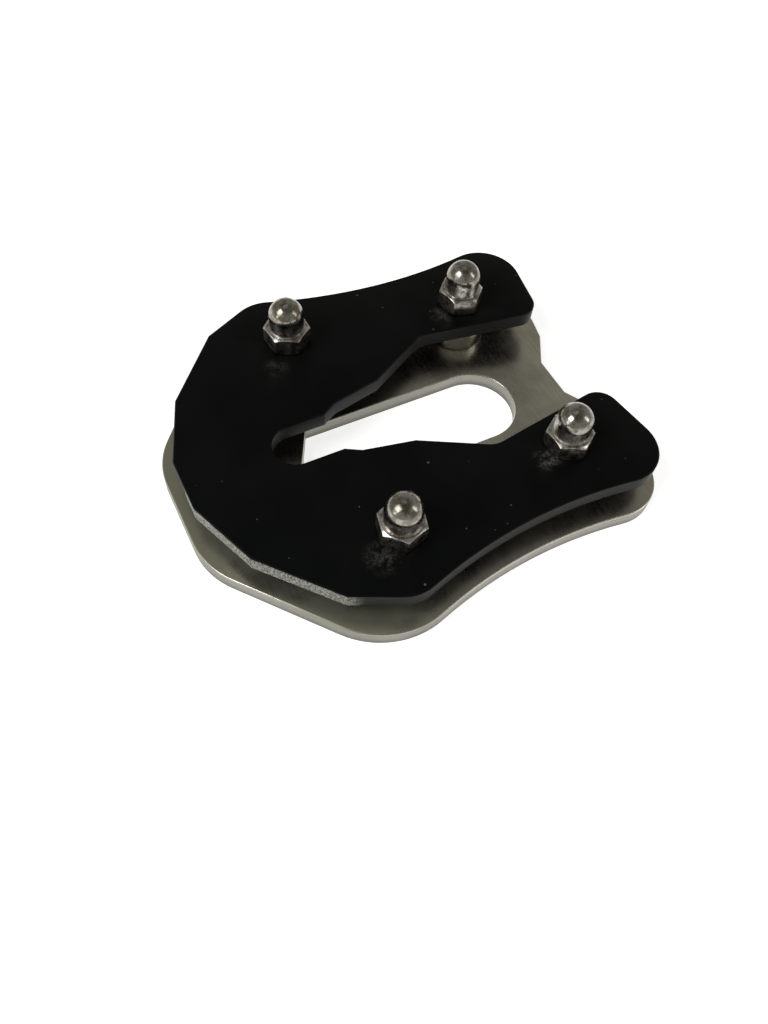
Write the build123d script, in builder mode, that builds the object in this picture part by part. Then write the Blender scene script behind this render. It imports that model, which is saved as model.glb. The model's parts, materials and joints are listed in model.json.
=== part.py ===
"""Kickstand foot enlarger: two shaped plates bolted round the foot of a motorbike's side stand.

The X axis is the axis of symmetry, with the open end at +X. Z is up, and the base plate's
underside is at Z 0. All sizes are in millimetres.
"""
import os
from math import radians, sqrt, tan

from build123d import *

# The stack of plates
base_thickness = 4.0
foot_gap = 6.0
clamp_thickness = 4.0

# The clamp plate's outer edge, as corners of its rear half
back_x = -51.8
back_half = 6.7
heel_x, heel_y = -45.5, 23.1
shoulder_x, shoulder_y = -31.2, 39.5
brow_x = -17.3
waist_x, waist_half = 22.5, 39.35
side_radius = 120.0
tip_x = 54.9
horn_lean, horn_y = 4.85, 13.9

# The clamp plate's mouth, which funnels into the slot for the stand's leg
mouth_x, mouth_y = 17.0, 18.7
throat_x, throat_y = 0.5, 9.9
neck_x, neck_y = -11.9, 7.4
slot_mouth_x = -15.5
slot_half = 5.4
slot_centre_x = -25.2

# Rounded corners of the clamp plate
brow_radius = 10.0
tip_radius = 10.0
horn_radius = 5.0
mouth_radius = 6.0
corner_radius = 1.5

# The base plate's edge stands out round the clamp plate, with two broad rounds on each side
# in place of the back's corner, the heel, the shoulder and the brow
base_margin = 3.1
base_back_margin = 2.3
base_heel_drop = 8.6
base_shoulder_setback = 5.8
base_heel_radius = 16.0
base_shoulder_radius = 17.5
base_tip_radius = 12.0
end_inset = 0.75

# The stepped notch in the base plate's open end
notch_depth = 6.3
notch_floor_half = 5.5
notch_step = 1.4
notch_step_half = 13.8
notch_mouth_half = 20.2

# The long slot in the base plate
base_slot_half = 10.4
base_slot_end_x = 23.8
base_slot_corner_x = -18.3
base_slot_apex_x = -23.8
apex_radius = 2.0

# Where the bolts stand, with their distances in from the line of the waist
left_bolt_x, left_bolt_inset = -14.1, 8.95
right_bolt_x, right_bolt_inset = 32.0, 14.05

# Fasteners: M6 screws, cap nuts and spacers
screw_radius = 3.0
screw_hole_gap = 0.3
screw_reach = 6.2
screw_point = 0.8
head_radius = 6.0
head_rim = 0.3
head_sink = 0.2
seat_gap = 0.05
socket_width = 4.0
socket_depth = 2.2
spacer_radius = 7.5
nut_width = 10.0
nut_hex_height = 4.8
nut_face_rim = 0.2
nut_chamfer_angle = 30.0
nut_height = 12.5
dome_radius = 4.25
bore_spare = 1.8
thread_gap = 0.05

# Broken edges
plate_break = 0.25
spacer_break = 0.3

# Places, levels and radii that follow
left_bolt_y = waist_half - left_bolt_inset
right_bolt_y = waist_half - right_bolt_inset
clamp_z = base_thickness + foot_gap
nut_z = clamp_z + clamp_thickness
screw_top_z = nut_z + screw_reach
hole_radius = screw_radius + screw_hole_gap
nut_face_radius = nut_width / 2 - nut_face_rim
horn_x = tip_x - horn_lean
base_heel_x = back_x - base_back_margin + base_margin
base_heel_y = heel_y - base_heel_drop
base_shoulder_x = brow_x - base_shoulder_setback
base_end_x = tip_x - end_inset

# Each bolt's x and y, and the angle of its nut's first corner
BOLTS = {
    "back_left": (left_bolt_x, left_bolt_y, 36.7),
    "front_left": (left_bolt_x, -left_bolt_y, 16.7),
    "back_right": (right_bolt_x, right_bolt_y, 43.6),
    "front_right": (right_bolt_x, -right_bolt_y, 33.3),
}


def side_y(x):
    """Half width of the clamp plate's hollow side at x."""
    return waist_half + side_radius - sqrt(side_radius**2 - (x - waist_x) ** 2)


def outer_side(corners, side_start_x):
    """Draws half a plate's outer edge: the back and its corners, then the hollow side to the tip."""
    side_start = (side_start_x, side_y(side_start_x))
    tip = (tip_x, side_y(tip_x))
    Polyline((corners[0][0], 0), *corners, side_start)
    ThreePointArc(side_start, (waist_x, waist_half), tip)
    return tip


def round_corners(sketch, x, y, radius):
    """Rounds the mirrored pair of corners nearest to x, y and x, -y."""
    for side in (1, -1):
        fillet(sketch.vertices().sort_by_distance((x, side * y))[0], radius)


with BuildSketch() as clamp_profile:
    with BuildLine():
        tip = outer_side(
            [(back_x, back_half), (heel_x, heel_y), (shoulder_x, shoulder_y)], brow_x
        )
        Polyline(
            tip, (horn_x, horn_y), (mouth_x, mouth_y), (throat_x, throat_y),
            (neck_x, neck_y), (slot_mouth_x, slot_half), (slot_centre_x, slot_half),
        )
        RadiusArc((slot_centre_x, slot_half), (slot_centre_x - slot_half, 0), -slot_half)
        mirror(about=Plane.XZ)
    make_face()
    round_corners(clamp_profile, back_x, back_half, corner_radius)
    round_corners(clamp_profile, heel_x, heel_y, corner_radius)
    round_corners(clamp_profile, shoulder_x, shoulder_y, corner_radius)
    round_corners(clamp_profile, brow_x, side_y(brow_x), brow_radius)
    round_corners(clamp_profile, *tip, tip_radius)
    round_corners(clamp_profile, horn_x, horn_y, horn_radius)
    round_corners(clamp_profile, mouth_x, mouth_y, mouth_radius)

with BuildPart() as clamp_plate:
    with BuildSketch(Plane.XY.offset(clamp_z)):
        add(clamp_profile.sketch)
    extrude(amount=clamp_thickness)
    chamfer(clamp_plate.faces().sort_by(Axis.Z)[-1].edges(), plate_break)
    with Locations(*[(x, y, nut_z) for x, y, turn in BOLTS.values()]):
        Hole(hole_radius, depth=clamp_thickness)

with BuildSketch() as base_profile:
    with BuildLine():
        tip = outer_side([(base_heel_x, base_heel_y)], base_shoulder_x)
        Line(tip, (tip[0], 0))
        mirror(about=Plane.XZ)
    make_face()
    round_corners(base_profile, base_heel_x, base_heel_y, base_heel_radius)
    round_corners(
        base_profile, base_shoulder_x, side_y(base_shoulder_x), base_shoulder_radius
    )
    offset(amount=base_margin, kind=Kind.INTERSECTION)
    with Locations((base_end_x, 0)):
        Rectangle(
            side_radius, 2 * side_radius, align=(Align.MIN, Align.CENTER), mode=Mode.SUBTRACT
        )
    round_corners(base_profile, base_end_x, side_y(base_end_x), base_tip_radius)
    with BuildLine():
        Polyline(
            (base_end_x - notch_depth, 0), (base_end_x - notch_depth, notch_floor_half),
            (base_end_x - notch_step, notch_step_half), (base_end_x, notch_mouth_half),
            (base_end_x, 0),
        )
        mirror(about=Plane.XZ)
    make_face(mode=Mode.SUBTRACT)

with BuildSketch() as base_slot:
    with BuildLine():
        Polyline(
            (base_slot_apex_x, 0), (base_slot_corner_x, base_slot_half),
            (base_slot_end_x, base_slot_half),
        )
        RadiusArc(
            (base_slot_end_x, base_slot_half), (base_slot_end_x + base_slot_half, 0), base_slot_half
        )
        mirror(about=Plane.XZ)
    make_face()
    fillet(base_slot.vertices().sort_by(Axis.X)[0], apex_radius)

with BuildPart() as base_plate:
    with BuildSketch():
        add(base_profile.sketch)
        add(base_slot.sketch, mode=Mode.SUBTRACT)
    extrude(amount=base_thickness)
    chamfer(base_plate.faces().sort_by(Axis.Z)[-1].edges(), plate_break)
    with Locations(*[Location((x, y, 0), (180, 0, 0)) for x, y, turn in BOLTS.values()]):
        CounterSinkHole(
            hole_radius, head_radius + head_sink + head_rim + seat_gap,
            depth=base_thickness, counter_sink_angle=90,
        )


def make_spacer(x, y):
    """A round spacer that keeps the plates apart, bored for the screw."""
    with BuildPart() as spacer:
        with BuildSketch(Plane((x, y, base_thickness))):
            Circle(spacer_radius)
            Circle(hole_radius, mode=Mode.SUBTRACT)
        extrude(amount=foot_gap)
        rims = spacer.edges().filter_by(GeomType.CIRCLE).sort_by(SortBy.RADIUS)[-2:]
        chamfer(rims, spacer_break)
    return spacer.part


def make_screw(x, y):
    """A countersunk hex socket screw, head down, flush with the base plate's underside."""
    cone_z = head_sink + head_rim
    shank_z = cone_z + head_radius - screw_radius
    with BuildPart() as screw:
        with BuildSketch(Plane((x, y, 0), x_dir=(1, 0, 0), z_dir=(0, -1, 0))):
            with BuildLine():
                Polyline(
                    (0, head_sink), (head_radius, head_sink), (head_radius, cone_z),
                    (screw_radius, shank_z), (screw_radius, screw_top_z - screw_point),
                    (screw_radius - screw_point, screw_top_z), (0, screw_top_z), close=True,
                )
            make_face()
        revolve(axis=Axis((x, y, 0), (0, 0, 1)))
        with BuildSketch(Plane((x, y, head_sink))):
            RegularPolygon(socket_width / 2, 6, major_radius=False)
        extrude(amount=socket_depth, mode=Mode.SUBTRACT)
    return screw.part


def make_cap_nut(x, y, turn):
    """A domed hex nut with a chamfered hexagon, turned by the angle it was tightened to."""
    upright = Plane((x, y, nut_z), x_dir=(1, 0, 0), z_dir=(0, -1, 0))
    axle = Axis((x, y, 0), (0, 0, 1))
    corner = nut_width / sqrt(3)
    chamfer_drop = (corner - nut_face_radius) * tan(radians(nut_chamfer_angle))
    neck_top = nut_height - dome_radius
    with BuildPart() as cap_nut:
        with BuildSketch(Plane((x, y, nut_z))):
            RegularPolygon(nut_width / 2, 6, major_radius=False, rotation=turn)
        extrude(amount=nut_hex_height)
        with BuildSketch(upright):
            with BuildLine():
                Polyline(
                    (0, 0), (corner, 0), (corner, nut_hex_height - chamfer_drop),
                    (nut_face_radius, nut_hex_height), (0, nut_hex_height), close=True,
                )
            make_face()
        revolve(axis=axle, mode=Mode.INTERSECT)
        with BuildSketch(upright):
            with BuildLine():
                Polyline((0, nut_height), (0, 0), (dome_radius, 0), (dome_radius, neck_top))
                RadiusArc((dome_radius, neck_top), (0, nut_height), -dome_radius)
            make_face()
        revolve(axis=axle)
        with BuildSketch(Plane((x, y, nut_z))):
            Circle(screw_radius + thread_gap)
        extrude(amount=screw_reach + bore_spare, mode=Mode.SUBTRACT)
    return cap_nut.part


def keep(part, name):
    """Labels a finished piece and writes it to its own file."""
    part.label = name
    export_step(part, f"parts/{name}.step")


os.makedirs("parts", exist_ok=True)
keep(base_plate.part, "base_plate")
keep(clamp_plate.part, "clamp_plate")
for place, (x, y, turn) in BOLTS.items():
    keep(make_spacer(x, y), f"spacer_{place}")
    keep(make_screw(x, y), f"screw_{place}")
    keep(make_cap_nut(x, y, turn), f"cap_nut_{place}")
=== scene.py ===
"""Looks of the kickstand foot enlarger: two plates bolted together, in a pale studio.

All lengths are in metres, in the part's own frame: the open end is at +X, and the base plate
lies on Z 0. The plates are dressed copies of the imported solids. The turned fasteners are modelled
here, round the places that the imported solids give.
"""
import json
from math import cos, pi, radians, sin, sqrt, tan

import bpy
from mathutils import Matrix, Vector

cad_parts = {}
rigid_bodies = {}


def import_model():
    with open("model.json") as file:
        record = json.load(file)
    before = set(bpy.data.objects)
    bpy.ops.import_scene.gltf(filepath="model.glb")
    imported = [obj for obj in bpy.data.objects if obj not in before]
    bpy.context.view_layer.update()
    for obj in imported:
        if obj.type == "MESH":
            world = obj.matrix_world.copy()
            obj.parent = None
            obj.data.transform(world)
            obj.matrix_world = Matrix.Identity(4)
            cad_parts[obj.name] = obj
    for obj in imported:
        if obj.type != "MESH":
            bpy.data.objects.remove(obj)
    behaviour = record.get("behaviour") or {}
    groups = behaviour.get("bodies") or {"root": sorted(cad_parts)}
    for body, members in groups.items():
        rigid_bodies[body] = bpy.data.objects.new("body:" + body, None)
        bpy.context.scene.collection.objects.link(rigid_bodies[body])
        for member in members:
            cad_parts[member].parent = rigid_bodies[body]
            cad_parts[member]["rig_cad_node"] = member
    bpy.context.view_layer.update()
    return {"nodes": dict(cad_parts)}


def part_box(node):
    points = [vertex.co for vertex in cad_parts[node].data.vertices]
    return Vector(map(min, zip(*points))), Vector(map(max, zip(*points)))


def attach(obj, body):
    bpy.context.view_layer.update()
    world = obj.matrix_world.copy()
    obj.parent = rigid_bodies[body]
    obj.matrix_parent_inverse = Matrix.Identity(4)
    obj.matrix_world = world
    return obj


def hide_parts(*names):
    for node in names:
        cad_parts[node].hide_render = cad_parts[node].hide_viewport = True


MM = 0.001
BODY = "root"

# The camera stands where the photographer stood
CAMERA_PLACE = Vector((-67.6, -106.8, 165.0)) * MM
CAMERA_LOOKS_DOWN = radians(57.13)
CAMERA_TURN = radians(32.51)
CAMERA_ROLL = radians(6.65)
CAMERA_LENS = 29.22
CAMERA_NEAR = 0.01
CAMERA_FAR = 20

# Fasteners: M6 cap nuts and countersunk socket screws
NUT_WIDTH = 10.0 * MM
NUT_HEX_HEIGHT = 4.8 * MM
NUT_FACE_RIM = 0.2 * MM
NUT_CHAMFER = radians(30)
NUT_HEIGHT = 12.5 * MM
DOME_RADIUS = 4.25 * MM
BORE_RADIUS = 3.05 * MM
BORE_DEPTH = 8.0 * MM
BORE_MOUTH = 0.35 * MM
SCREW_RADIUS = 3.0 * MM
HEAD_RADIUS = 6.0 * MM
HEAD_RIM = 0.3 * MM
SCREW_POINT = 0.8 * MM
SOCKET_WIDTH = 4.0 * MM
SOCKET_DEPTH = 2.2 * MM
SPACER_HOLE = 3.3 * MM
SPACER_BREAK = 0.3 * MM
HEX_TURNS = {"back_left": 36.7, "front_left": 16.7, "back_right": 43.6, "front_right": 33.3}

# Edges, as they come from the cutter and the coating
PLATE_EDGE = 0.16 * MM
NUT_EDGE = 0.14 * MM
SPACER_EDGE = 0.08 * MM
SCREW_EDGE = 0.08 * MM
EDGE_STEPS = 3
LATHE_STEPS = 96
DOME_STEPS = 24
SHARP = radians(25)
SMOOTH = radians(32)
MERGE_GAP = 0.002 * MM


def deselect():
    """Leaves nothing selected, in object mode."""
    if bpy.context.object and bpy.context.object.mode != "OBJECT":
        bpy.ops.object.mode_set(mode="OBJECT")
    bpy.ops.object.select_all(action="DESELECT")


def work_on(piece):
    """Makes one piece the only selected and active one."""
    deselect()
    piece.select_set(True)
    bpy.context.view_layer.objects.active = piece


def close_up(piece):
    """Merges loose corners and turns every face outwards."""
    work_on(piece)
    bpy.ops.object.mode_set(mode="EDIT")
    bpy.ops.mesh.select_all(action="SELECT")
    bpy.ops.mesh.remove_doubles(threshold=MERGE_GAP)
    bpy.ops.mesh.normals_make_consistent(inside=False)
    bpy.ops.object.mode_set(mode="OBJECT")


def round_edges(piece, width):
    """Breaks the sharp edges with a small rounded bevel and shades the rest smooth."""
    work_on(piece)
    bevel = piece.modifiers.new("edges", "BEVEL")
    bevel.width = width
    bevel.segments = EDGE_STEPS
    bevel.limit_method = "ANGLE"
    bevel.angle_limit = SHARP
    bpy.ops.object.modifier_apply(modifier=bevel.name)
    bpy.ops.object.shade_smooth_by_angle(angle=SMOOTH)


def lathe(name, profile):
    """Walks one corner along a closed profile of radius and height, and spins it round Z."""
    deselect()
    radius, height = profile[0]
    bpy.ops.mesh.primitive_plane_add(size=MM, location=(0, 0, 0))
    piece = bpy.context.object
    piece.name = name
    bpy.ops.object.mode_set(mode="EDIT")
    bpy.ops.mesh.select_all(action="SELECT")
    bpy.ops.mesh.merge(type="CENTER")
    bpy.ops.transform.translate(value=(radius, 0, height))
    for next_radius, next_height in profile[1:] + profile[:1]:
        step = (next_radius - radius, 0, next_height - height)
        bpy.ops.mesh.extrude_region_move(TRANSFORM_OT_translate={"value": step})
        radius, height = next_radius, next_height
    bpy.ops.mesh.select_all(action="SELECT")
    bpy.ops.mesh.spin(steps=LATHE_STEPS, angle=2 * pi, center=(0, 0, 0), axis=(0, 0, 1))
    bpy.ops.object.mode_set(mode="OBJECT")
    close_up(piece)
    return piece


def hex_bar(name, width, low, high, turn=0.0):
    """A hexagonal bar along Z, width across its flats, turned about its axis."""
    deselect()
    bpy.ops.mesh.primitive_cylinder_add(
        vertices=6, radius=width / sqrt(3), depth=high - low, location=(0, 0, (low + high) / 2)
    )
    bar = bpy.context.object
    bar.name = name
    bpy.ops.object.mode_set(mode="EDIT")
    bpy.ops.mesh.select_all(action="SELECT")
    bpy.ops.transform.rotate(
        value=turn, orient_axis="Z", center_override=(0, 0, 0), orient_type="GLOBAL"
    )
    bpy.ops.object.mode_set(mode="OBJECT")
    bpy.ops.object.transform_apply(location=True, rotation=True, scale=True)
    return bar


def combine(piece, tool, how):
    """Cuts or intersects a piece with a tool, which is used up."""
    work_on(piece)
    cut = piece.modifiers.new("cut", "BOOLEAN")
    cut.operation = how
    cut.solver = "EXACT"
    cut.object = tool
    bpy.ops.object.modifier_apply(modifier=cut.name)
    bpy.data.objects.remove(tool)


def dome_points(radius, centre_height):
    """Radius and height of points up a quarter circle, without its top point."""
    turns = [pi / 2 * i / DOME_STEPS for i in range(DOME_STEPS)]
    return [(radius * cos(a), centre_height + radius * sin(a)) for a in turns]


def cap_nut_pattern():
    """The cap nut, turned from hexagonal bar, standing on Z 0 with a corner towards +X."""
    corner = NUT_WIDTH / sqrt(3)
    face_radius = NUT_WIDTH / 2 - NUT_FACE_RIM
    drop = (corner - face_radius) * tan(NUT_CHAMFER)
    spare = MM
    profile = [
        (BORE_RADIUS + BORE_MOUTH, 0),
        (face_radius, 0),
        (corner + spare, (corner + spare - face_radius) * tan(NUT_CHAMFER)),
        (corner + spare, NUT_HEX_HEIGHT - drop - spare * tan(NUT_CHAMFER)),
        (face_radius, NUT_HEX_HEIGHT),
        (DOME_RADIUS, NUT_HEX_HEIGHT),
        *dome_points(DOME_RADIUS, NUT_HEIGHT - DOME_RADIUS),
        (0, NUT_HEIGHT),
        (0, BORE_DEPTH + BORE_RADIUS / 2),
        (BORE_RADIUS, BORE_DEPTH),
        (BORE_RADIUS, BORE_MOUTH),
    ]
    nut = lathe("cap_nut_pattern", profile)
    combine(nut, hex_bar("hex_tool", NUT_WIDTH, -MM, NUT_HEIGHT + MM, pi / 6), "INTERSECT")
    close_up(nut)
    return nut


def screw_pattern(reach):
    """The countersunk socket screw, head down, with its head's face on Z 0."""
    cone_top = HEAD_RIM + HEAD_RADIUS - SCREW_RADIUS
    profile = [
        (0, 0),
        (HEAD_RADIUS, 0),
        (HEAD_RADIUS, HEAD_RIM),
        (SCREW_RADIUS, cone_top),
        (SCREW_RADIUS, reach - SCREW_POINT),
        (SCREW_RADIUS - SCREW_POINT, reach),
        (0, reach),
    ]
    screw = lathe("screw_pattern", profile)
    combine(screw, hex_bar("socket_tool", SOCKET_WIDTH, -MM, SOCKET_DEPTH), "DIFFERENCE")
    close_up(screw)
    return screw


def spacer_pattern(radius, height):
    """A turned spacer with broken rims, standing on Z 0."""
    profile = [
        (SPACER_HOLE, 0),
        (radius - SPACER_BREAK, 0),
        (radius, SPACER_BREAK),
        (radius, height - SPACER_BREAK),
        (radius - SPACER_BREAK, height),
        (SPACER_HOLE, height),
    ]
    return lathe("spacer_pattern", profile)


def put_copy(pattern, name, place, turn=0.0):
    """Copies a pattern piece, with its own mesh, to its place in the frame."""
    piece = bpy.data.objects.new(name, pattern.data.copy())
    bpy.context.scene.collection.objects.link(piece)
    piece.data.transform(Matrix.Translation(place) @ Matrix.Rotation(turn, 4, "Z"))
    return piece


def dressed_copy(node, name):
    """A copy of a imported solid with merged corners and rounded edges."""
    piece = frame["nodes"][node].copy()
    piece.data = piece.data.copy()
    piece.name = name
    del piece["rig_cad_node"]
    bpy.context.scene.collection.objects.link(piece)
    piece.parent = None
    close_up(piece)
    round_edges(piece, PLATE_EDGE)
    return piece


def dress(piece, node, material):
    """Gives a finished piece its material and its place in the frame's table."""
    piece.data.materials.clear()
    piece.data.materials.append(material)
    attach(piece, BODY)
    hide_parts(node)


class Nodes:
    """Adds and links nodes in one material, world or group."""

    def __init__(self, tree):
        self.tree = tree

    def add(self, kind):
        return self.tree.nodes.new(kind)

    def link(self, out, into):
        self.tree.links.new(out, into)

    def feed(self, socket, value):
        """Sets a socket to a value or links it to another socket."""
        if isinstance(value, bpy.types.NodeSocket):
            self.link(value, socket)
        elif value is not None:
            socket.default_value = value

    def math(self, how, a, b=None, c=None, clamp=False):
        node = self.add("ShaderNodeMath")
        node.operation = how
        node.use_clamp = clamp
        for socket, value in zip(node.inputs, (a, b, c)):
            self.feed(socket, value)
        return node.outputs[0]

    def product(self, value, *others):
        """Multiplies two or more values."""
        for other in others:
            value = self.math("MULTIPLY", value, other)
        return value

    def one_minus(self, value):
        return self.math("SUBTRACT", 1.0, value)

    def vector_math(self, how, a, b):
        node = self.add("ShaderNodeVectorMath")
        node.operation = how
        self.feed(node.inputs[0], a)
        self.feed(node.inputs[1], b)
        return node.outputs

    def distance(self, vector, place):
        return self.vector_math("DISTANCE", vector, place)["Value"]

    def axes(self, vector):
        """The X, Y and Z of a vector."""
        node = self.add("ShaderNodeSeparateXYZ")
        self.link(vector, node.inputs[0])
        return node.outputs

    def spread(self, value, low, high, to_low=0.0, to_high=1.0):
        """Maps a value from one range to another, smoothly and with held ends."""
        node = self.add("ShaderNodeMapRange")
        node.interpolation_type = "SMOOTHSTEP"
        for name, number in zip(
            ("Value", "From Min", "From Max", "To Min", "To Max"),
            (value, low, high, to_low, to_high),
        ):
            self.feed(node.inputs[name], number)
        return node.outputs["Result"]

    def mix(self, factor, a, b):
        """Blends two numbers."""
        node = self.add("ShaderNodeMix")
        self.feed(node.inputs["Factor"], factor)
        self.feed(node.inputs["A"], a)
        self.feed(node.inputs["B"], b)
        return node.outputs["Result"]

    def mix_colour(self, factor, a, b):
        """Blends two colours."""
        node = self.add("ShaderNodeMix")
        node.data_type = "RGBA"
        self.feed(node.inputs["Factor"], factor)
        colours = [s for s in node.inputs if s.type == "RGBA"]
        self.feed(colours[0], a)
        self.feed(colours[1], b)
        return next(s for s in node.outputs if s.type == "RGBA")

    def noise(self, vector, scale, detail=2.0, roughness=0.5):
        node = self.add("ShaderNodeTexNoise")
        self.link(vector, node.inputs["Vector"])
        node.inputs["Scale"].default_value = scale
        node.inputs["Detail"].default_value = detail
        node.inputs["Roughness"].default_value = roughness
        return node.outputs["Fac"]

    def bump(self, height, strength, distance, normal=None):
        node = self.add("ShaderNodeBump")
        self.link(height, node.inputs["Height"])
        node.inputs["Strength"].default_value = strength
        node.inputs["Distance"].default_value = distance
        self.feed(node.inputs["Normal"], normal)
        return node.outputs["Normal"]


def new_group(name, inputs, outputs):
    """A shader node group. An input whose default is None is a vector, and the rest are numbers."""
    tree = bpy.data.node_groups.new(name, "ShaderNodeTree")
    for label, default in inputs.items():
        kind = "NodeSocketVector" if default is None else "NodeSocketFloat"
        socket = tree.interface.new_socket(label, in_out="INPUT", socket_type=kind)
        if default is not None:
            socket.default_value = default
    for label in outputs:
        tree.interface.new_socket(label, in_out="OUTPUT", socket_type="NodeSocketFloat")
    n = Nodes(tree)
    return tree, n, n.add("NodeGroupInput").outputs, n.add("NodeGroupOutput").inputs


def face_masks_group():
    """Tells sides, broken edges and level faces apart by how steep they are."""
    tree, n, given, out = new_group("face_masks", {}, ["Side", "Edge"])
    normal = n.add("ShaderNodeNewGeometry").outputs["Normal"]
    level = n.math("ABSOLUTE", n.axes(normal)["Z"])
    n.link(n.spread(level, 0.35, 0.12), out["Side"])
    rising = n.spread(level, 0.15, 0.4)
    falling = n.spread(level, 0.985, 0.9)
    n.link(n.product(rising, falling), out["Edge"])
    return tree


def streaks_group():
    """Fine straight lines, as a brushing belt or a cutter leaves, with a few deeper ones."""
    tree, n, given, out = new_group(
        "streaks", {"Vector": None, "Stretch": None}, ["Height", "Tone"]
    )
    lines = n.vector_math("MULTIPLY", given["Vector"], given["Stretch"])["Vector"]
    fine = n.noise(lines, 1.0, detail=3.0, roughness=0.6)
    broad = n.noise(lines, 0.23, detail=2.0)
    both = n.math("ADD", n.product(fine, 0.65), n.product(broad, 0.35))
    n.link(both, out["Height"])
    n.link(n.spread(both, 0.35, 0.65), out["Tone"])
    return tree


def specks_group():
    """Sparse small dots of uneven size, such as dust that has settled."""
    tree, n, given, out = new_group(
        "specks", {"Vector": None, "Spacing": 1.0, "Size": 0.06, "Share": 0.5}, ["Mask"]
    )
    dots = n.add("ShaderNodeTexVoronoi")
    n.link(given["Vector"], dots.inputs["Vector"])
    n.link(given["Spacing"], dots.inputs["Scale"])
    pick = n.add("ShaderNodeSeparateColor")
    n.link(dots.outputs["Color"], pick.inputs[0])
    size = n.product(given["Size"], pick.outputs["Red"])
    near = n.math("LESS_THAN", dots.outputs["Distance"], size)
    kept = n.math("LESS_THAN", pick.outputs["Green"], given["Share"])
    n.link(n.product(near, kept), out["Mask"])
    return tree


def place_group(n, tree, vector=None, **values):
    """Puts a shared group into a material with its own values."""
    node = n.add("ShaderNodeGroup")
    node.node_tree = tree
    if vector is not None:
        n.link(vector, node.inputs["Vector"])
    for label, value in values.items():
        node.inputs[label].default_value = value
    return node.outputs


def new_material(name, constants):
    """A material, its node helper, the object coordinates and its Principled shader's inputs."""
    material = bpy.data.materials.new(name)
    material.use_nodes = True
    shader = material.node_tree.nodes["Principled BSDF"].inputs
    for label, value in constants.items():
        shader[label].default_value = value
    n = Nodes(material.node_tree)
    where = n.add("ShaderNodeTexCoord").outputs["Object"]
    return material, n, where, shader


# Black coating: its colours, the worn heel, and rubs as x, y, size and strength
COAT_SHEEN = 0.09
COAT_DEEP = (0.0018, 0.0025, 0.0024, 1)
COAT_PALE = (0.0036, 0.0043, 0.0042, 1)
COAT_SIDE = (0.020, 0.021, 0.020, 1)
COAT_WORN = (0.55, 0.56, 0.50, 1)
COAT_DUST = (0.17, 0.165, 0.155, 1)
WORN_FROM_X = -27.5 * MM
WORN_FADE = 4 * MM
WORN_RAGGED = 2.2 * MM
RUBS = [
    (25.6 * MM, -27.2 * MM, 4.2 * MM, 1.0),
    (25.4 * MM, 23.0 * MM, 4.0 * MM, 0.4),
    (-20.2 * MM, -34.5 * MM, 5.6 * MM, 0.42),
    (-20.0 * MM, 23.3 * MM, 4.0 * MM, 0.3),
]

# Stainless sheet: its colours, painted shade on the cut sides, and where a dull film with painted
# light lies round the heel
SHEET_DULL = (0.46, 0.445, 0.375, 1)
SHEET_BRIGHT = (0.66, 0.64, 0.55, 1)
SHEET_GRAIN = (0.40, 0.385, 0.33, 1)
SHEET_EDGE = (0.60, 0.59, 0.53, 1)
SHEET_SIDE_SHADE_LOW = (0.15, 0.147, 0.128, 1)
SHEET_SIDE_SHADE_HIGH = (0.31, 0.305, 0.265, 1)
FILM_AND_LIGHT_OLIVE = (0.29, 0.295, 0.21, 1)
FILM_AND_LIGHT_CENTRE = (-10 * MM, 0, 0)
FILM_AND_LIGHT_INNER = 25 * MM
FILM_AND_LIGHT_OUTER = 37 * MM

# Turned steel: nuts, spacers and screws
NUT_BRIGHT = (0.62, 0.60, 0.56, 1)
NUT_DRAWN = (0.5, 0.485, 0.45, 1)
DOME_SHADED_STEEL = (0.37, 0.355, 0.32, 1)
DOME_BROWN_PATCH = (0.17, 0.145, 0.105, 1)
DOME_SPOT = (0.09, 0.075, 0.055, 1)
DOME_START = 3.2 * MM
DOME_FADE = 0.5 * MM
SPACER_PALE = (0.40, 0.39, 0.35, 1)
SPACER_DARK = (0.30, 0.29, 0.26, 1)
SCREW_PALE = (0.56, 0.54, 0.51, 1)
SCREW_DARK = (0.44, 0.42, 0.39, 1)


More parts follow.
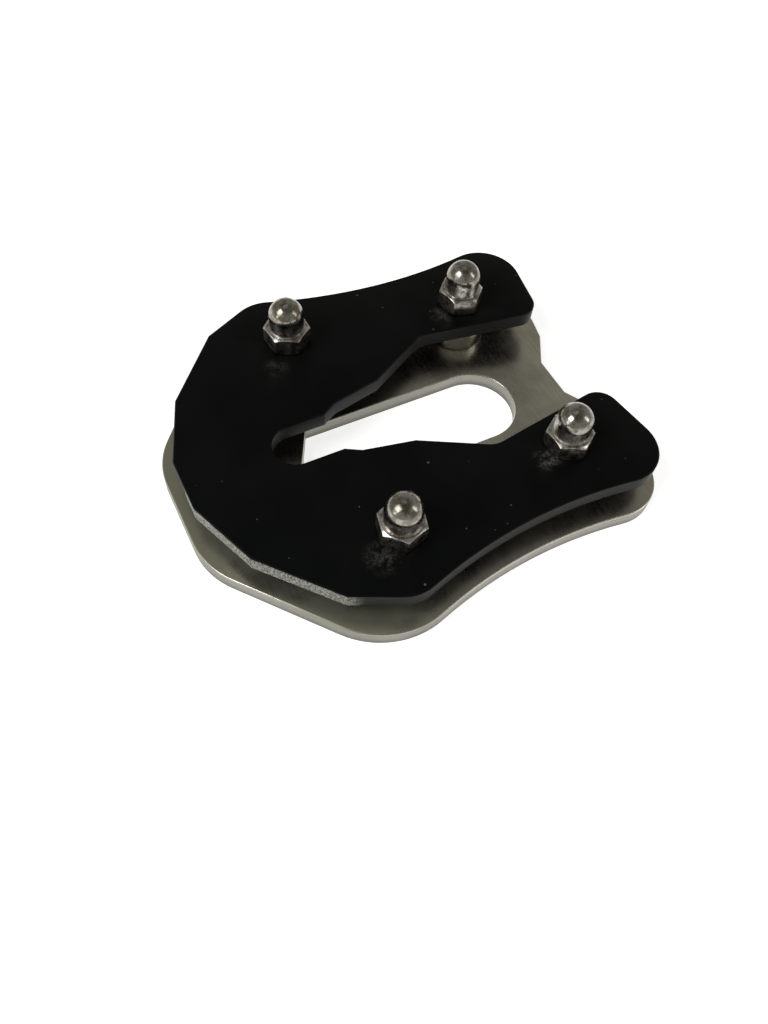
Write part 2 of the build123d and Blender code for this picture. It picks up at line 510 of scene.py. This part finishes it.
def black_coating(groups, top):
    """Satin black powder coating: lighter in colour on the cut sides, worn through at one heel,
    dusty.
    """
    material, n, where, shader = new_material("black_coating", {"Specular IOR Level": COAT_SHEEN})
    side = place_group(n, groups["face_masks"])["Side"]
    level = n.one_minus(side)
    place = n.axes(where)
    haze = n.noise(where, 60, detail=3.0)
    colour = n.mix_colour(n.spread(haze, 0.3, 0.75), COAT_DEEP, COAT_PALE)
    colour = n.mix_colour(side, colour, COAT_SIDE)

    behind = n.spread(place["X"], WORN_FROM_X, WORN_FROM_X - WORN_FADE)
    near = n.spread(place["Y"], 0.0, -2 * MM)
    border = n.noise(where, 1100, detail=3.0, roughness=0.7)
    ragged = n.math("MULTIPLY_ADD", border, WORN_RAGGED, -WORN_RAGGED / 2)
    low = n.spread(n.math("ADD", place["Z"], ragged), top - 0.1 * MM, top - 0.8 * MM)
    worn = n.product(behind, near, low, side)
    speckle = n.spread(n.noise(where, 2300, detail=3.0, roughness=0.75), 0.40, 0.60, 0.1, 1.0)
    pitted = n.product(worn, speckle)
    colour = n.mix_colour(pitted, colour, COAT_WORN)

    dust = place_group(n, groups["specks"], where, Spacing=330, Size=0.10, Share=0.6)["Mask"]
    lint = place_group(n, groups["specks"], where, Spacing=140, Size=0.04, Share=0.5)["Mask"]
    settled = n.product(level, n.spread(place["X"], 40 * MM, -30 * MM, 0.3, 0.9))
    dusty = n.product(n.math("MAXIMUM", dust, lint), settled)
    broken = n.spread(n.noise(where, 380, detail=4.0, roughness=0.65), 0.42, 0.58)
    grit = n.product(speckle, broken, level)
    for x, y, size, strength in RUBS:
        spot = n.spread(n.distance(where, (x, y, top)), size, 0.0)
        dusty = n.math("MAXIMUM", dusty, n.product(spot, strength, grit))
    n.link(n.mix_colour(dusty, colour, COAT_DUST), shader["Base Color"])

    rough = n.spread(haze, 0.3, 0.75, 0.33, 0.43)
    n.link(n.math("MULTIPLY_ADD", side, 0.08, rough), shader["Roughness"])
    grain = n.bump(n.noise(where, 2600, detail=2.0), 0.25, 0.02 * MM)
    grain = n.bump(n.noise(where, 900, detail=1.0), 0.15, 0.03 * MM, grain)
    n.link(n.bump(pitted, 0.6, 0.05 * MM, grain), shader["Normal"])
    return material


def brushed_stainless(groups):
    """Stainless sheet with a grain across the part, cut sides in painted shade, and a dull film
    with painted light round its heel.
    """
    material, n, where, shader = new_material("brushed_stainless", {})
    masks = place_group(n, groups["face_masks"])
    side = masks["Side"]
    place = n.axes(where)
    grain = place_group(n, groups["streaks"], where, Stretch=(3200, 110, 110))
    cut = place_group(n, groups["streaks"], where, Stretch=(1900, 1900, 150))
    cloud = n.noise(where, 70, detail=4.0, roughness=0.6)
    colour = n.mix_colour(n.spread(cloud, 0.3, 0.7), SHEET_DULL, SHEET_BRIGHT)
    colour = n.mix_colour(n.product(grain["Tone"], 0.45), colour, SHEET_GRAIN)
    # Painted shade: the cut sides are painted darker than the top, and darker still towards the
    # bottom.
    rise = n.spread(place["Z"], 0.2 * MM, 2.6 * MM)
    colour = n.mix_colour(side, colour, n.mix_colour(rise, SHEET_SIDE_SHADE_LOW, SHEET_SIDE_SHADE_HIGH))
    colour = n.mix_colour(masks["Edge"], colour, SHEET_EDGE)

    # Partly a dull film and partly painted light: an olive, less metallic patch round the heel
    # lightens the sheet there.
    heel = n.spread(place["X"], 2 * MM, -22 * MM)
    rim = n.spread(n.distance(where, FILM_AND_LIGHT_CENTRE), FILM_AND_LIGHT_INNER, FILM_AND_LIGHT_OUTER)
    film_and_light = n.product(heel, rim, n.spread(cloud, 0.35, 0.62, 0.4, 1.0))
    olive_film_and_light = n.math("MULTIPLY", film_and_light, n.math("SUBTRACT", 0.85, side), clamp=True)
    n.link(n.mix_colour(olive_film_and_light, colour, FILM_AND_LIGHT_OLIVE), shader["Base Color"])
    n.link(n.one_minus(n.product(film_and_light, 0.32)), shader["Metallic"])

    rough = n.spread(cloud, 0.3, 0.7, 0.22, 0.29)
    for mask, share in ((grain["Tone"], 0.05), (film_and_light, 0.04), (side, 0.18)):
        rough = n.math("MULTIPLY_ADD", mask, share, rough)
    n.link(rough, shader["Roughness"])
    brushed = n.bump(n.product(grain["Height"], n.one_minus(side)), 0.04, 0.012 * MM)
    n.link(n.bump(n.product(cut["Height"], side), 0.35, 0.05 * MM, brushed), shader["Normal"])
    return material


def polished_stainless(groups, hex_top):
    """Cap nuts: a polished dome, painted darker as shade, over satin drawn flats, with brown
    patches.
    """
    material, n, where, shader = new_material("polished_stainless", {"Metallic": 1.0})
    dome_low = hex_top + DOME_START
    dome = n.spread(n.axes(where)["Z"], dome_low, dome_low + DOME_FADE)
    smears = n.noise(where, 500, detail=3.0)
    satin = n.spread(smears, 0.35, 0.7, 0.27, 0.38)
    mirror = n.spread(smears, 0.35, 0.7, 0.17, 0.28)
    n.link(n.mix(dome, satin, mirror), shader["Roughness"])
    drawn = place_group(n, groups["streaks"], where, Stretch=(2600, 2600, 300))
    flats = n.product(drawn["Height"], n.one_minus(dome))
    n.link(n.bump(flats, 0.25, 0.02 * MM), shader["Normal"])
    colour = n.mix_colour(n.product(drawn["Tone"], 0.4), NUT_BRIGHT, NUT_DRAWN)
    # Painted shade: the dome is given a darker steel colour than the flats.
    colour = n.mix_colour(dome, colour, DOME_SHADED_STEEL)
    brown_patches = n.spread(n.noise(where, 520, detail=5.0, roughness=0.7), 0.43, 0.58)
    colour = n.mix_colour(n.product(brown_patches, 0.8), colour, DOME_BROWN_PATCH)
    spots = place_group(n, groups["specks"], where, Spacing=800, Size=0.42, Share=0.35)["Mask"]
    n.link(n.mix_colour(n.product(spots, 0.6), colour, DOME_SPOT), shader["Base Color"])
    return material


def turned_stainless(groups):
    """Spacers: fine turning rings round a plain cylinder."""
    material, n, where, shader = new_material("turned_stainless", {"Metallic": 1.0})
    rings = place_group(n, groups["streaks"], where, Stretch=(90, 90, 5200))
    n.link(n.bump(rings["Height"], 0.3, 0.012 * MM), shader["Normal"])
    n.link(n.spread(rings["Tone"], 0.0, 1.0, 0.22, 0.34), shader["Roughness"])
    n.link(n.mix_colour(rings["Tone"], SPACER_PALE, SPACER_DARK), shader["Base Color"])
    return material


def screw_stainless():
    """Screws: plain stainless with rolled marks, duller than the nuts."""
    material, n, where, shader = new_material("screw_stainless", {"Metallic": 1.0})
    patches = n.noise(where, 900, detail=3.0)
    n.link(n.spread(patches, 0.3, 0.7, 0.26, 0.42), shader["Roughness"])
    tone = n.spread(patches, 0.35, 0.65)
    n.link(n.mix_colour(tone, SCREW_DARK, SCREW_PALE), shader["Base Color"])
    n.link(n.bump(n.noise(where, 2400, detail=2.0), 0.2, 0.02 * MM), shader["Normal"])
    return material


# Studio: a floor, a sky by height, and lamps that all face a point over the part
FLOOR_SIZE = 6.0
FLOOR_DROP = 0.05 * MM
FLOOR = {
    "Base Color": (0.86, 0.86, 0.86, 1),
    "Roughness": 0.9,
    "Specular IOR Level": 0.1,
    "Emission Color": (1, 1, 1, 1),
}
FLOOR_GLOW = 0.74
SKY = [
    (0.50, (0.30, 0.30, 0.29)),
    (0.56, (0.38, 0.375, 0.36)),
    (0.66, (0.37, 0.36, 0.33)),
    (0.80, (0.29, 0.28, 0.25)),
    (0.90, (0.17, 0.165, 0.15)),
    (1.00, (0.12, 0.115, 0.105)),
]
LAMP_AIM = Vector((0, 0, 14 * MM))

# Each lamp's compass angle from +X, height angle, distance, width, height and radiance
LAMPS = {
    "window_left": (180, 46, 0.9, 0.42, 0.44, 6.0),
    "window_left_low": (184, 16, 0.9, 0.20, 0.20, 3.0),
    "window_right": (-38, 30, 0.9, 0.16, 0.46, 3.2),
    "ceiling": (80, 76, 1.1, 0.46, 0.46, 0.30),
}


def make_floor():
    """A wide pale floor just under the part, which keeps its shadow."""
    deselect()
    bpy.ops.mesh.primitive_plane_add(size=FLOOR_SIZE, location=(0, 0, -FLOOR_DROP))
    floor = bpy.context.object
    floor.name = "studio_floor"
    bpy.ops.object.transform_apply(location=True, rotation=True, scale=True)
    material, n, where, shader = new_material("pale_floor", FLOOR)
    paths = n.add("ShaderNodeLightPath").outputs
    seen = n.math("MAXIMUM", paths["Is Camera Ray"], paths["Is Glossy Ray"])
    seen = n.math("MAXIMUM", seen, paths["Is Transmission Ray"])
    n.link(n.product(seen, FLOOR_GLOW), shader["Emission Strength"])
    floor.data.materials.append(material)


def make_sky():
    """A sky that is pale at the horizon and dim overhead."""
    world = bpy.data.worlds.new("studio_sky")
    world.use_nodes = True
    bpy.context.scene.world = world
    n = Nodes(world.node_tree)
    background = world.node_tree.nodes["Background"]
    direction = n.add("ShaderNodeTexCoord").outputs["Generated"]
    ramp = n.add("ShaderNodeValToRGB")
    n.link(n.math("MULTIPLY_ADD", n.axes(direction)["Z"], 0.5, 0.5), ramp.inputs["Fac"])
    stops = ramp.color_ramp.elements
    for place, colour in SKY[1:-1]:
        stops.new(place)
    for stop, (place, colour) in zip(stops, SKY):
        stop.position = place
        stop.color = (*colour, 1)
    n.link(ramp.outputs["Color"], background.inputs["Color"])


def make_lamps():
    """Plain soft lamps, each turned to the part."""
    for name, (compass, rise, distance, width, height, radiance) in LAMPS.items():
        deselect()
        a, e = radians(compass), radians(rise)
        way = Vector((cos(a) * cos(e), sin(a) * cos(e), sin(e)))
        bpy.ops.object.light_add(type="AREA", location=LAMP_AIM + way * distance)
        lamp = bpy.context.object
        lamp.name = name
        lamp.data.shape = "RECTANGLE"
        lamp.data.size = width
        lamp.data.size_y = height
        lamp.data.energy = radiance * pi * width * height
        lamp.rotation_euler = way.to_track_quat("Z", "Y").to_euler()
        lamp.visible_camera = False


def make_camera():
    """The camera, at the photograph's viewing angle."""
    deselect()
    bpy.ops.object.camera_add(location=CAMERA_PLACE)
    camera = bpy.context.object
    camera.matrix_world = (
        Matrix.Translation(CAMERA_PLACE)
        @ Matrix.Rotation(-CAMERA_TURN, 4, "Z")
        @ Matrix.Rotation(pi / 2 - CAMERA_LOOKS_DOWN, 4, "X")
        @ Matrix.Rotation(CAMERA_ROLL, 4, "Z")
    )
    camera.data.lens = CAMERA_LENS
    camera.data.clip_start = CAMERA_NEAR
    camera.data.clip_end = CAMERA_FAR
    bpy.context.scene.camera = camera


def dress_plates(groups):
    """The coated clamp plate and the brushed base plate."""
    clamp = dressed_copy("clamp_plate", "clamp_plate_coated")
    clamp_low, clamp_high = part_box("clamp_plate")
    dress(clamp, "clamp_plate", black_coating(groups, clamp_high.z))
    base = dressed_copy("base_plate", "base_plate_brushed")
    dress(base, "base_plate", brushed_stainless(groups))


def dress_fasteners(groups):
    """Cap nuts, screws and spacers, each modelled once and copied to the four bolts."""
    nut_low, nut_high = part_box("cap_nut_back_left")
    screw_low, screw_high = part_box("screw_back_left")
    spacer_low, spacer_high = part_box("spacer_back_left")
    nut = cap_nut_pattern()
    round_edges(nut, NUT_EDGE)
    screw = screw_pattern(screw_high.z - screw_low.z)
    round_edges(screw, SCREW_EDGE)
    spacer = spacer_pattern((spacer_high.x - spacer_low.x) / 2, spacer_high.z - spacer_low.z)
    round_edges(spacer, SPACER_EDGE)
    nut_steel = polished_stainless(groups, nut_low.z + NUT_HEX_HEIGHT)
    screw_steel = screw_stainless()
    spacer_steel = turned_stainless(groups)
    for place, turn in HEX_TURNS.items():
        low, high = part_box(f"screw_{place}")
        x, y = (low.x + high.x) / 2, (low.y + high.y) / 2
        piece = put_copy(nut, f"domed_nut_{place}", (x, y, nut_low.z), radians(turn))
        dress(piece, f"cap_nut_{place}", nut_steel)
        piece = put_copy(screw, f"socket_screw_{place}", (x, y, screw_low.z))
        dress(piece, f"screw_{place}", screw_steel)
        piece = put_copy(spacer, f"turned_spacer_{place}", (x, y, spacer_low.z))
        dress(piece, f"spacer_{place}", spacer_steel)
    for pattern in (nut, screw, spacer):
        bpy.data.objects.remove(pattern)


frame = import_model()
make_camera()
shared = {
    "face_masks": face_masks_group(),
    "streaks": streaks_group(),
    "specks": specks_group(),
}
dress_plates(shared)
dress_fasteners(shared)
make_floor()
make_sky()
make_lamps()
bpy.context.scene.view_settings.view_transform = "Standard"
